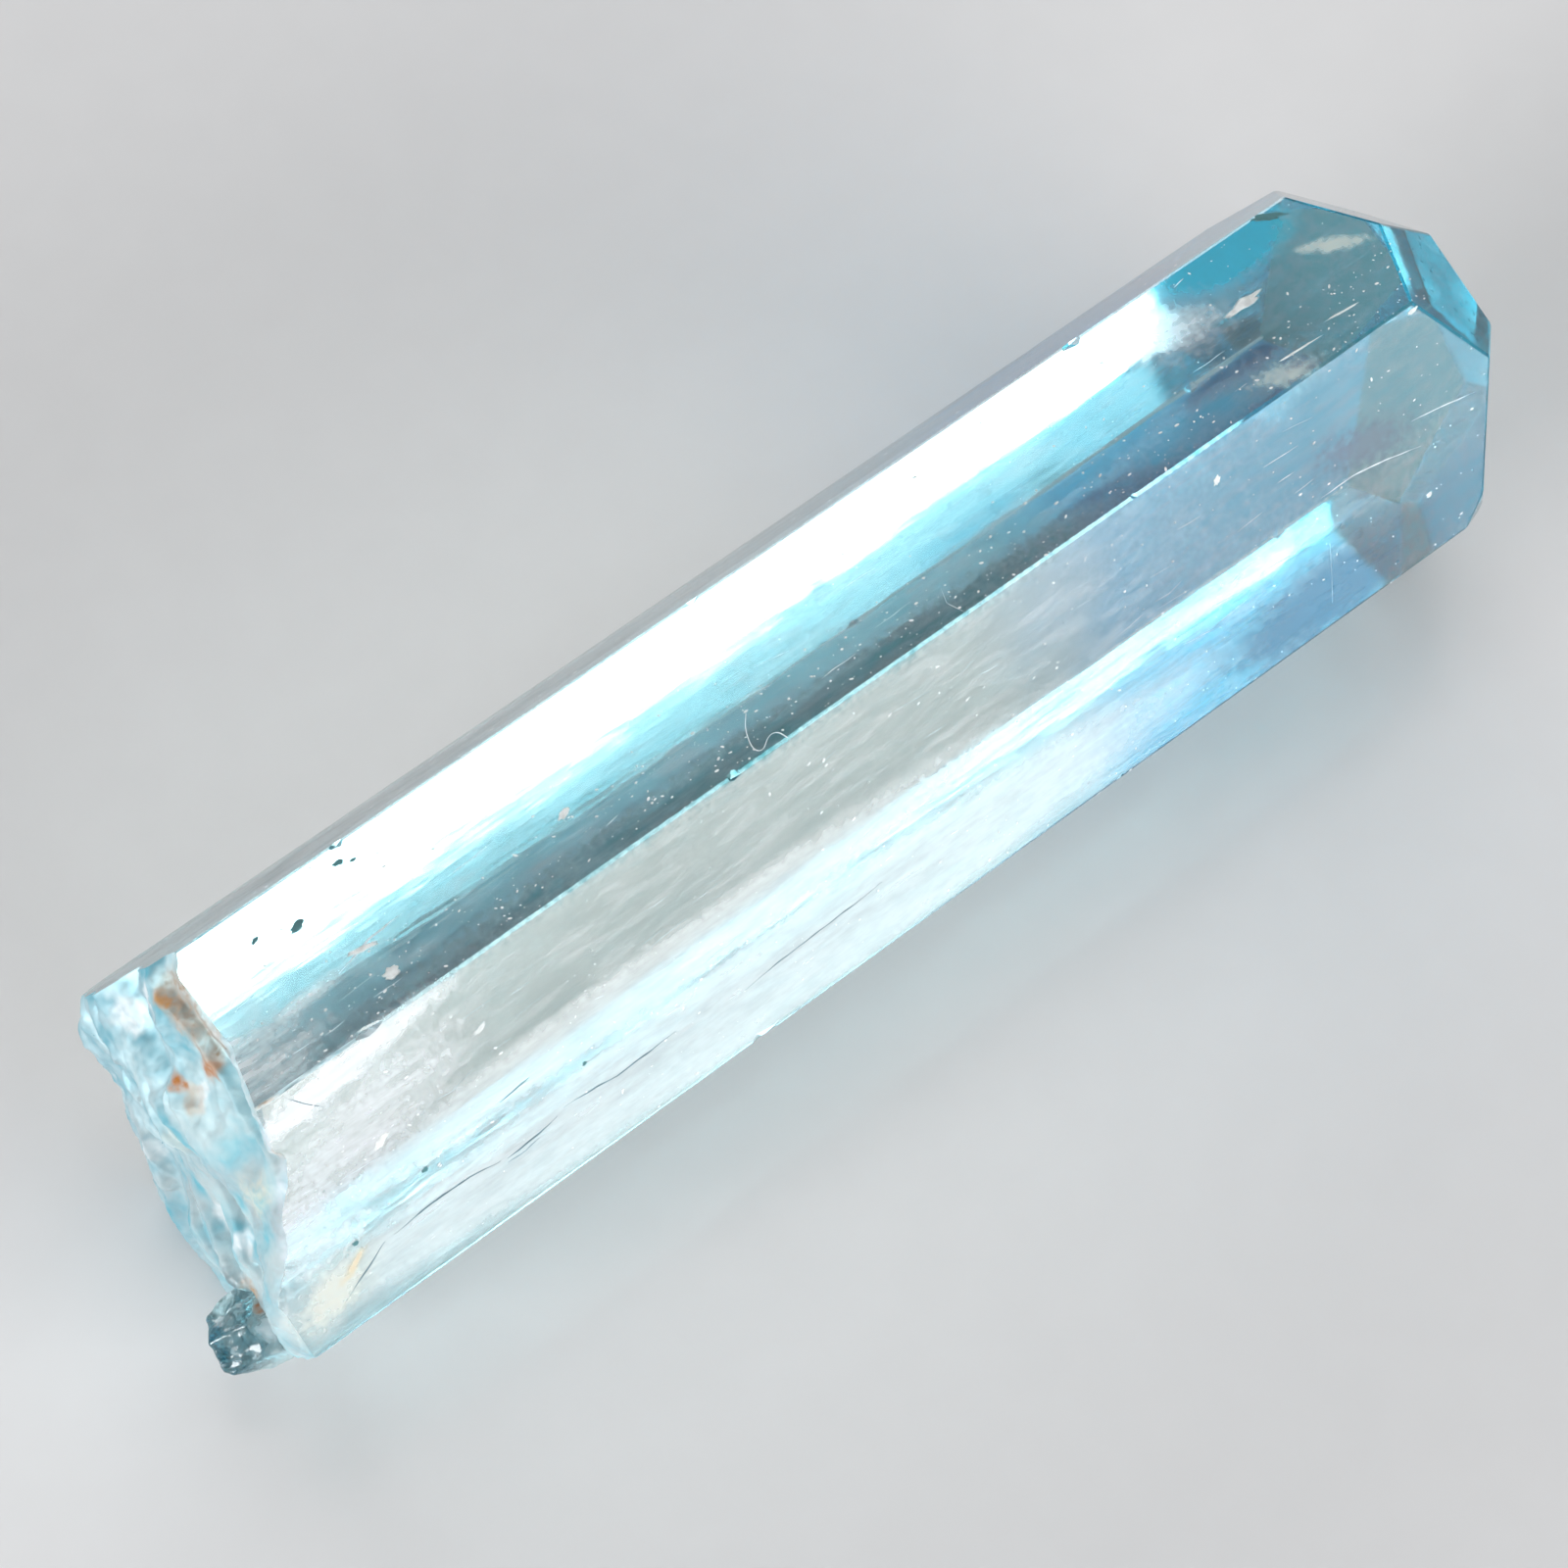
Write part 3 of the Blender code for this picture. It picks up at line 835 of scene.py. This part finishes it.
class Surface:
    """The crystal's outside, onto which small things are laid."""

    drop: float = 12.0

    def __init__(self) -> None:
        """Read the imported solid."""
        shape = bmesh.new()
        shape.from_mesh(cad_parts[NODE_NAME].data)
        self.tree = BVHTree.FromBMesh(shape)
        shape.free()

    def land(self, face: CrystalFace, along: float, across: float) -> Vector | None:
        """Drop a point onto the crystal, square to one of its faces.

        Args:
            face: The face to drop onto.
            along: How far along the axis, in millimetres from the middle.
            across: How far onward across the face from the line square above the axis, in millimetres.

        Returns:
            The point it lands on, in metres, or nothing where it misses.
        """
        middle = Vector((along, AXIS_SIDE, AXIS_HEIGHT)) + face.onward() * across
        start = (middle + face.outward() * self.drop) * MM
        return self.tree.ray_cast(start, -face.outward())[0]


@dataclass
class SurfaceDust(Piece):
    """Tiny pale specks that lie on the crystal's faces.

    Most specks are near the smallest size, because a speck's size rises with the cube of its draw.
    """

    name: str = "surface_dust"
    seed: int = 11
    smallest: float = 0.007
    largest: float = 0.027
    flatness: float = 0.35
    slenderness: Pair = (1.0, 2.4)
    lean: float = 30.0
    tone: Triple = (0.90, 0.92, 0.93)
    patches: tuple[Patch, ...] = (
        Patch(CrystalFace.TOP, -12.0, 13.5, -0.55, 1.2, 480),
        Patch(CrystalFace.TOP, -12.0, 13.5, 1.0, 3.0, 180),
        Patch(CrystalFace.FRONT_UPPER, -12.5, 14.0, -0.3, 5.4, 520),
        Patch(CrystalFace.BACK_UPPER, -12.0, 13.0, 0.0, 3.2, 120),
        Patch(CrystalFace.BACK_LOWER, -12.0, 13.0, 0.0, 3.6, 60),
    )

    def build(self, surface: Surface) -> bpy.types.Object:
        """Return the specks as one piece.

        Args:
            surface: The crystal's outside.

        Returns:
            The piece.
        """
        chance = random.Random(self.seed)
        shape = bmesh.new()
        for patch in self.patches:
            for _ in range(patch.count):
                along = chance.uniform(patch.start, patch.end)
                across = patch.centre + patch.width * chance.uniform(-0.5, 0.5)
                place = surface.land(patch.face, along, across)
                if place is not None:
                    self.add_speck(shape, chance, patch.face, place)
        return self.finish_mesh(shape, SpeckFinish("pale_dust", self.tone).make())

    def add_speck(
        self, shape: bmesh.types.BMesh, chance: random.Random, face: CrystalFace, place: Vector
    ) -> None:
        """Add one flat speck.

        Args:
            shape: The mesh to add to.
            chance: The source of sizes and turns.
            face: The face that the speck lies on.
            place: Where it lies, in metres.
        """
        size = self.smallest + (self.largest - self.smallest) * chance.random() ** 3
        length = size * chance.uniform(*self.slenderness)
        lie = face.lie(chance.gauss(0.0, self.lean))
        scale = Matrix.Diagonal((length * MM, size * MM, self.flatness * size * MM, 1.0))
        bmesh.ops.create_icosphere(
            shape, subdivisions=1, radius=1.0, matrix=Matrix.Translation(place) @ lie @ scale
        )


@dataclass(frozen=True)
class Flake:
    """A thin flake on a face: its middle, its half length and half width, and its turn."""

    face: CrystalFace
    place: Pair
    reach: Pair
    turn: float = 0.0


PALE_FLAKE = (0.84, 0.89, 0.89)
DARK_FLAKE = (0.08, 0.22, 0.24)

PALE_FLAKES = (
    Flake(TOP, (10.49, 0.70), (0.40, 0.11), 4.0),
    Flake(TOP, (-9.48, -0.54), (0.17, 0.10), 10.0),
    Flake(TOP, (-9.62, 0.12), (0.30, 0.05), -12.0),
    Flake(TOP, (-5.44, 0.06), (0.14, 0.07), 20.0),
    Flake(TOP, (11.80, -0.54), (0.36, 0.022), -6.0),
    Flake(TOP, (10.60, -0.66), (0.46, 0.020), -3.0),
    Flake(FRONT, (7.96, 1.75), (0.11, 0.07), 60.0),
    Flake(FRONT, (12.13, -1.41), (0.07, 0.06), 0.0),
    Flake(FRONT, (12.84, 2.36), (0.12, 0.05), 8.0),
    Flake(FRONT, (-8.70, 1.20), (0.16, 0.06), 20.0),
    Flake(FRONT, (-11.10, 0.45), (0.20, 0.08), 25.0),
)

DARK_FLAKES = (
    Flake(TOP, (-10.24, 1.14), (0.16, 0.07), 15.0),
    Flake(TOP, (-9.00, 1.68), (0.10, 0.05), 0.0),
    Flake(TOP, (-10.95, 1.36), (0.08, 0.04), 30.0),
    Flake(TOP, (-8.77, 1.57), (0.07, 0.03), 0.0),
    Flake(TOP, (12.08, 1.86), (0.32, 0.09), -25.0),
    Flake(FRONT, (-10.65, -0.62), (0.07, 0.05), 0.0),
    Flake(FRONT, (-12.30, -1.05), (0.06, 0.05), 0.0),
    Flake(FRONT, (-7.30, -0.75), (0.05, 0.04), 0.0),
)


@dataclass
class SurfaceFlakes(Piece):
    """Thin ragged flakes and smudges that lie on the faces."""

    flakes: tuple[Flake, ...]
    tone: Triple
    thickness: float = 0.008
    corners: int = 22
    top_share: float = 0.8
    ragged: float = 0.55
    rim_scale: float = 1.9

    def build(self, surface: Surface) -> bpy.types.Object:
        """Return the flakes as one piece.

        Args:
            surface: The crystal's outside.

        Returns:
            The piece.
        """
        shape = bmesh.new()
        for flake in self.flakes:
            place = surface.land(flake.face, *flake.place)
            self.add_flake(shape, flake, place)
        return self.finish_mesh(shape, SpeckFinish(self.name, self.tone).make())

    def add_flake(self, shape: bmesh.types.BMesh, flake: Flake, place: Vector) -> None:
        """Add one flake, with a ragged rim and a top a little smaller than its foot.

        Args:
            shape: The mesh to add to.
            flake: The flake's size and turn.
            place: Where it lies, in metres.
        """
        made = bmesh.ops.create_cone(
            shape,
            cap_ends=True,
            cap_tris=True,
            segments=self.corners,
            radius1=1.0,
            radius2=self.top_share,
            depth=2.0 * self.thickness * MM,
        )
        fit = Matrix.Diagonal((flake.reach[0] * MM, flake.reach[1] * MM, 1.0, 1.0))
        own_noise = Vector(flake.place).to_3d() * 3.1
        for vert in made["verts"]:
            wander = noise.noise(Vector((vert.co.x, vert.co.y, 0.0)) * self.rim_scale + own_noise)
            vert.co.xy *= 1.0 + self.ragged * wander
        turn = Matrix.Translation(place) @ flake.face.lie(flake.turn) @ fit
        bmesh.ops.transform(shape, matrix=turn, verts=made["verts"])


@dataclass(frozen=True)
class Scratch:
    """A fine line on a face: the points it passes, along and across, and its width."""

    face: CrystalFace
    course: tuple[Pair, ...]
    width: float = 0.016


PALE_SCRATCH = (0.78, 0.88, 0.93)
DARK_SCRATCH = (0.12, 0.20, 0.24)
STRAY_SCRATCHES = 80

DARK_SCRATCHES = (
    Scratch(FRONT, ((-11.65, -1.39), (-10.83, -1.31), (-10.0, -1.33), (-9.40, -1.44)), 0.022),
    Scratch(FRONT, ((-9.27, -1.48), (-8.60, -1.45), (-8.15, -1.36)), 0.022),
    Scratch(FRONT, ((-7.98, -1.28), (-7.30, -1.34), (-6.86, -1.41), (-5.55, -1.36)), 0.018),
    Scratch(FRONT, ((-9.30, -1.56), (-8.90, -1.58), (-8.60, -1.52)), 0.014),
    Scratch(FRONT, ((-4.09, -1.51), (-2.90, -1.42), (-1.60, -1.38), (-0.92, -1.33)), 0.014),
    Scratch(FRONT, ((-12.92, -1.98), (-12.42, -1.72), (-11.84, -1.40)), 0.020),
    Scratch(FRONT, ((-8.96, -0.37), (-8.60, -0.33), (-8.30, -0.29)), 0.022),
    Scratch(FRONT, ((-12.20, 2.39), (-11.95, 2.05), (-11.69, 1.75)), 0.018),
)

PALE_SCRATCHES = (
    Scratch(FRONT, ((12.19, 0.27), (12.90, 0.14), (13.68, -0.04)), 0.016),
    Scratch(FRONT, ((10.44, 0.07), (11.40, -0.12), (12.25, -0.34)), 0.014),
    Scratch(FRONT, ((9.80, -0.98), (9.68, -1.50), (9.50, -2.18)), 0.016),
    Scratch(FRONT, ((9.90, 0.02), (10.50, 0.02), (11.00, 0.00)), 0.012),
    Scratch(TOP, ((2.41, -0.50), (2.30, -0.80), (2.44, -1.15)), 0.012),
    Scratch(TOP, ((-10.20, -0.02), (-9.40, 0.20), (-8.70, 0.24)), 0.018),
)


@dataclass
class SurfaceScratches(Piece):
    """Fine lines scored in the faces, as very thin raised ribbons of dust or shadow.

    Stray lines are added to the placed ones, within a stretch along and across the two upper faces.
    """

    lines: tuple[Scratch, ...]
    tone: Triple
    stray: int = 0
    stray_along: Pair = (-12.0, 10.0)
    stray_across: Pair = (-1.1, 1.8)
    stray_length: Pair = (0.15, 0.9)
    stray_lean: float = 0.12
    stray_width: Pair = (0.004, 0.009)
    seed: int = 5
    height: float = 0.004
    step: float = 0.06
    wander: float = 0.018
    wander_scale: float = 3.0
    end_share: float = 0.25

    def build(self, surface: Surface) -> bpy.types.Object:
        """Return the lines as one piece.

        Args:
            surface: The crystal's outside.

        Returns:
            The piece.
        """
        chance = random.Random(self.seed)
        shape = bmesh.new()
        for line in self.lines + tuple(self.stray_lines(chance)):
            self.add_line(shape, surface, line)
        bmesh.ops.recalc_face_normals(shape, faces=shape.faces)
        return self.finish_mesh(shape, SpeckFinish(self.name, self.tone).make())

    def stray_lines(self, chance: random.Random) -> list[Scratch]:
        """Scatter short lines along the two upper faces.

        Args:
            chance: The source of places and lengths.

        Returns:
            The lines.
        """
        lines = []
        for _ in range(self.stray):
            face = chance.choice((TOP, FRONT))
            along, across = chance.uniform(*self.stray_along), chance.uniform(*self.stray_across)
            length, lean = chance.uniform(*self.stray_length), chance.gauss(0.0, self.stray_lean)
            end = (along + length, across + length * lean)
            lines.append(Scratch(face, ((along, across), end), chance.uniform(*self.stray_width)))
        return lines

    def add_line(self, shape: bmesh.types.BMesh, surface: Surface, line: Scratch) -> None:
        """Add one line as a flat ribbon, thinner towards its ends.

        Args:
            shape: The mesh to add to.
            surface: The crystal's outside.
            line: The line to add.
        """
        points = self.steps(line)
        last = len(points) - 1
        rings = []
        for count, (along, across) in enumerate(points):
            place = surface.land(line.face, along, across)
            if place is None:
                return
            taper = max(self.end_share, min(1.0, 4.0 * count / last, 4.0 * (last - count) / last))
            uneven = 0.75 + 0.6 * noise.noise(Vector((along * 4.0, across * 4.0, 0.0)))
            scale = Matrix.Diagonal((1.0, line.width * taper * uneven * MM, self.height * MM, 1.0))
            stand = Matrix.Rotation(math.pi / 2.0, 4, "Y")
            at = Matrix.Translation(place) @ line.face.lie(0.0) @ scale @ stand
            made = bmesh.ops.create_circle(
                shape, cap_ends=count in (0, last), segments=4, radius=1.0, matrix=at
            )
            rings.append(made["verts"])
        join_rings(shape, rings)

    def steps(self, line: Scratch) -> list[Pair]:
        """Lay closely spaced, slightly wandering points along a line.

        Args:
            line: The line.

        Returns:
            The points, each along the axis and across the face, in millimetres.
        """
        points = []
        for start, end in zip(line.course, line.course[1:]):
            count = max(2, round(math.dist(start, end) / self.step))
            for step in range(count):
                share = step / count
                along = start[0] + share * (end[0] - start[0])
                across = start[1] + share * (end[1] - start[1])
                across += self.wander * noise.noise(Vector((along * self.wander_scale, across, 2.0)))
                points.append((along, across))
        return points + [line.course[-1]]


def ring_edges(ring: list[bmesh.types.BMVert]) -> list[bmesh.types.BMEdge]:
    """Return the edges that join the points of one ring."""
    members = set(ring)
    return list({edge for vert in ring for edge in vert.link_edges if set(edge.verts) <= members})


def join_rings(shape: bmesh.types.BMesh, rings: list[list[bmesh.types.BMVert]]) -> None:
    """Bridge each ring of a thin tube to the next.

    Args:
        shape: The mesh that holds the rings.
        rings: The points of each ring, from one end to the other.
    """
    for first, second in zip(rings, rings[1:]):
        bmesh.ops.bridge_loops(shape, edges=ring_edges(first) + ring_edges(second))


@dataclass
class LintFibre(Piece):
    """A short curled fibre on the ridge between the top and the front face."""

    name: str = "lint_fibre"
    radius: float = 0.011
    sides: int = 6
    height: float = 0.02
    corner_cut: float = 0.25
    tone: Triple = (0.86, 0.90, 0.93)
    roughness: float = 0.6
    course: tuple[Pair, ...] = (
        (-1.82, -0.36),
        (-2.02, -0.59),
        (-2.16, -0.98),
        (-2.03, -1.12),
        (-1.78, -0.93),
        (-1.60, -0.96),
        (-1.54, -1.16),
    )
    rounds: int = 4

    def build(self, surface: Surface) -> bpy.types.Object:
        """Return the fibre.

        Args:
            surface: The crystal's outside.

        Returns:
            The piece.
        """
        path = [self.rest(surface, along, across) for along, across in self.soft_course()]
        last = len(path) - 1
        shape = bmesh.new()
        rings = []
        for step, place in enumerate(path):
            ahead = path[min(step + 1, last)] - path[max(step - 1, 0)]
            upright = ahead.to_track_quat("Z", "Y").to_matrix().to_4x4()
            ring = bmesh.ops.create_circle(
                shape,
                cap_ends=step in (0, last),
                segments=self.sides,
                radius=self.radius * MM,
                matrix=Matrix.Translation(place) @ upright,
            )
            rings.append(ring["verts"])
        join_rings(shape, rings)
        bmesh.ops.recalc_face_normals(shape, faces=shape.faces)
        for face in shape.faces:
            face.smooth = len(face.verts) == 4
        return self.finish_mesh(shape, SpeckFinish("pale_lint", self.tone, self.roughness).make())

    def soft_course(self) -> list[Pair]:
        """Cut the corners of the fibre's course round.

        Returns:
            The points of the rounded course, in millimetres.
        """
        near, far = 1.0 - self.corner_cut, self.corner_cut
        points = list(self.course)
        for _ in range(self.rounds):
            cut = [points[0]]
            for (ax, ay), (bx, by) in zip(points, points[1:]):
                cut.append((near * ax + far * bx, near * ay + far * by))
                cut.append((far * ax + near * bx, far * ay + near * by))
            points = cut + [points[-1]]
        return points

    def rest(self, surface: Surface, along: float, across: float) -> Vector:
        """Return a point just above the crystal's top, in metres.

        Args:
            surface: The crystal's outside.
            along: Its place along the axis, in millimetres.
            across: Its place across the crystal, in millimetres along Y.

        Returns:
            The point.
        """
        place = surface.land(CrystalFace.TOP, along, across)
        return place + Vector((0.0, 0.0, self.height * MM))


@dataclass(frozen=True)
class Softbox:
    """A soft light that faces the crystal.

    Its turn is its compass direction from the crystal, from +X towards +Y, and its height is its angle
    above the floor, both in degrees. Its size is in metres, and its glow is its surface's radiance.
    """

    name: str
    turn: float
    height: float
    size: Pair
    glow: float
    distance: float = 0.4

    def build(self) -> None:
        """Add the light to the scene."""
        around, up = math.radians(self.turn), math.radians(self.height)
        away = Vector((math.cos(around) * math.cos(up), math.sin(around) * math.cos(up), math.sin(up)))
        light = bpy.data.lights.new(self.name, "AREA")
        light.shape = "RECTANGLE"
        light.size, light.size_y = self.size
        light.energy = self.glow * math.pi * self.size[0] * self.size[1]
        lamp = bpy.data.objects.new(self.name, light)
        facing = away.to_track_quat("Z", "Y").to_matrix().to_4x4()
        lamp.matrix_world = Matrix.Translation(away * self.distance) @ facing
        lamp.visible_camera = False
        bpy.context.scene.collection.objects.link(lamp)


@dataclass
class Studio:
    """The floor, the soft lights and the camera around the crystal."""

    softboxes: tuple[Softbox, ...] = (
        Softbox("front_softbox", -74.0, 13.5, (0.42, 0.19), 8.0),
        Softbox("back_softbox", 70.0, 13.5, (0.42, 0.19), 5.0),
        Softbox("high_softbox", 50.0, 63.0, (0.22, 0.22), 1.1),
        Softbox("root_softbox", 180.0, 16.0, (0.20, 0.15), 16.0),
    )
    floor_size: float = 3.0
    floor_drop: float = 0.02
    floor_tone: float = 0.80
    floor_evenness: float = 0.985
    floor_roughness: float = 0.22
    sky: float = 0.15
    camera_place: Triple = (-23.216, -28.755, 74.217)
    camera_turn: float = -38.2608
    camera_height: float = 62.8421
    lens: float = 100.05
    sensor: float = 36.0

    def build(self) -> None:
        """Make the floor, the lights and the camera."""
        self.lay_floor()
        self.fill_sky()
        for softbox in self.softboxes:
            softbox.build()
        self.place_camera()

    def lay_floor(self) -> None:
        """Make the plain pale floor."""
        shape = bmesh.new()
        bmesh.ops.create_grid(shape, x_segments=1, y_segments=1, size=self.floor_size / 2.0)
        bmesh.ops.translate(shape, verts=shape.verts, vec=(0.0, 0.0, -self.floor_drop * MM))
        mesh = bpy.data.meshes.new("floor")
        shape.to_mesh(mesh)
        shape.free()
        sheet = NodeSheet("pale_satin_floor")
        grain = sheet.rise(sheet.clouds(sheet.millimetres(), 0.8, 1.0), 0.2, 0.8, self.floor_evenness, 1.0)
        inputs = {0: (self.floor_tone, self.floor_tone, self.floor_tone * 1.01), "Scale": grain}
        tone = sheet.node("VectorMath", inputs, operation="SCALE").outputs[0]
        sheet.feed(sheet.shader.inputs["Base Color"], tone)
        sheet.shader.inputs["Roughness"].default_value = self.floor_roughness
        mesh.materials.append(sheet.material)
        floor = bpy.data.objects.new("floor", mesh)
        bpy.context.scene.collection.objects.link(floor)

    def fill_sky(self) -> None:
        """Light the whole room evenly and faintly."""
        world = bpy.data.worlds.new("studio")
        world.use_nodes = True
        background = world.node_tree.nodes["Background"]
        background.inputs["Color"].default_value = colour(1.0, 1.0, 1.0)
        background.inputs["Strength"].default_value = self.sky
        bpy.context.scene.world = world

    def place_camera(self) -> None:
        """Look down on the crystal from its front, near the root."""
        turn, height = math.radians(self.camera_turn), math.radians(self.camera_height)
        level = Vector((math.sin(turn), -math.cos(turn), 0.0))
        back = level * math.cos(height) + Vector((0.0, 0.0, math.sin(height)))
        right = Vector((math.cos(turn), math.sin(turn), 0.0))
        up = back.cross(right)
        camera = bpy.data.cameras.new("camera")
        camera.lens = self.lens
        camera.sensor_width = self.sensor
        camera.clip_start = MM
        viewer = bpy.data.objects.new("camera", camera)
        facing = Matrix((right, up, back)).transposed().to_4x4()
        viewer.matrix_world = Matrix.Translation(Vector(self.camera_place) * MM) @ facing
        bpy.context.scene.collection.objects.link(viewer)
        bpy.context.scene.camera = viewer


def main() -> None:
    """Build the pieces in order and report each."""
    logging.basicConfig(level=logging.INFO, format="%(message)s")
    surface = Surface()
    pieces = [
        CrystalSkin().build(),
        SurfaceDust().build(surface),
        SurfaceFlakes("pale_flakes", PALE_FLAKES, PALE_FLAKE).build(surface),
        SurfaceFlakes("dark_flakes", DARK_FLAKES, DARK_FLAKE).build(surface),
        SurfaceScratches("pale_scratches", PALE_SCRATCHES, PALE_SCRATCH, STRAY_SCRATCHES).build(surface),
        SurfaceScratches("dark_scratches", DARK_SCRATCHES, DARK_SCRATCH).build(surface),
        LintFibre().build(surface),
    ]
    for item in pieces:
        log.info("%s: %d faces", item.name, len(item.data.polygons))
    Studio().build()
    bpy.context.scene.view_settings.view_transform = "Standard"
    bpy.context.scene.cycles.max_bounces = LIGHT_BOUNCES
    bpy.context.scene.cycles.glossy_bounces = LIGHT_BOUNCES
    bpy.context.scene.cycles.transmission_bounces = LIGHT_BOUNCES


if __name__ == "__main__":
    main()
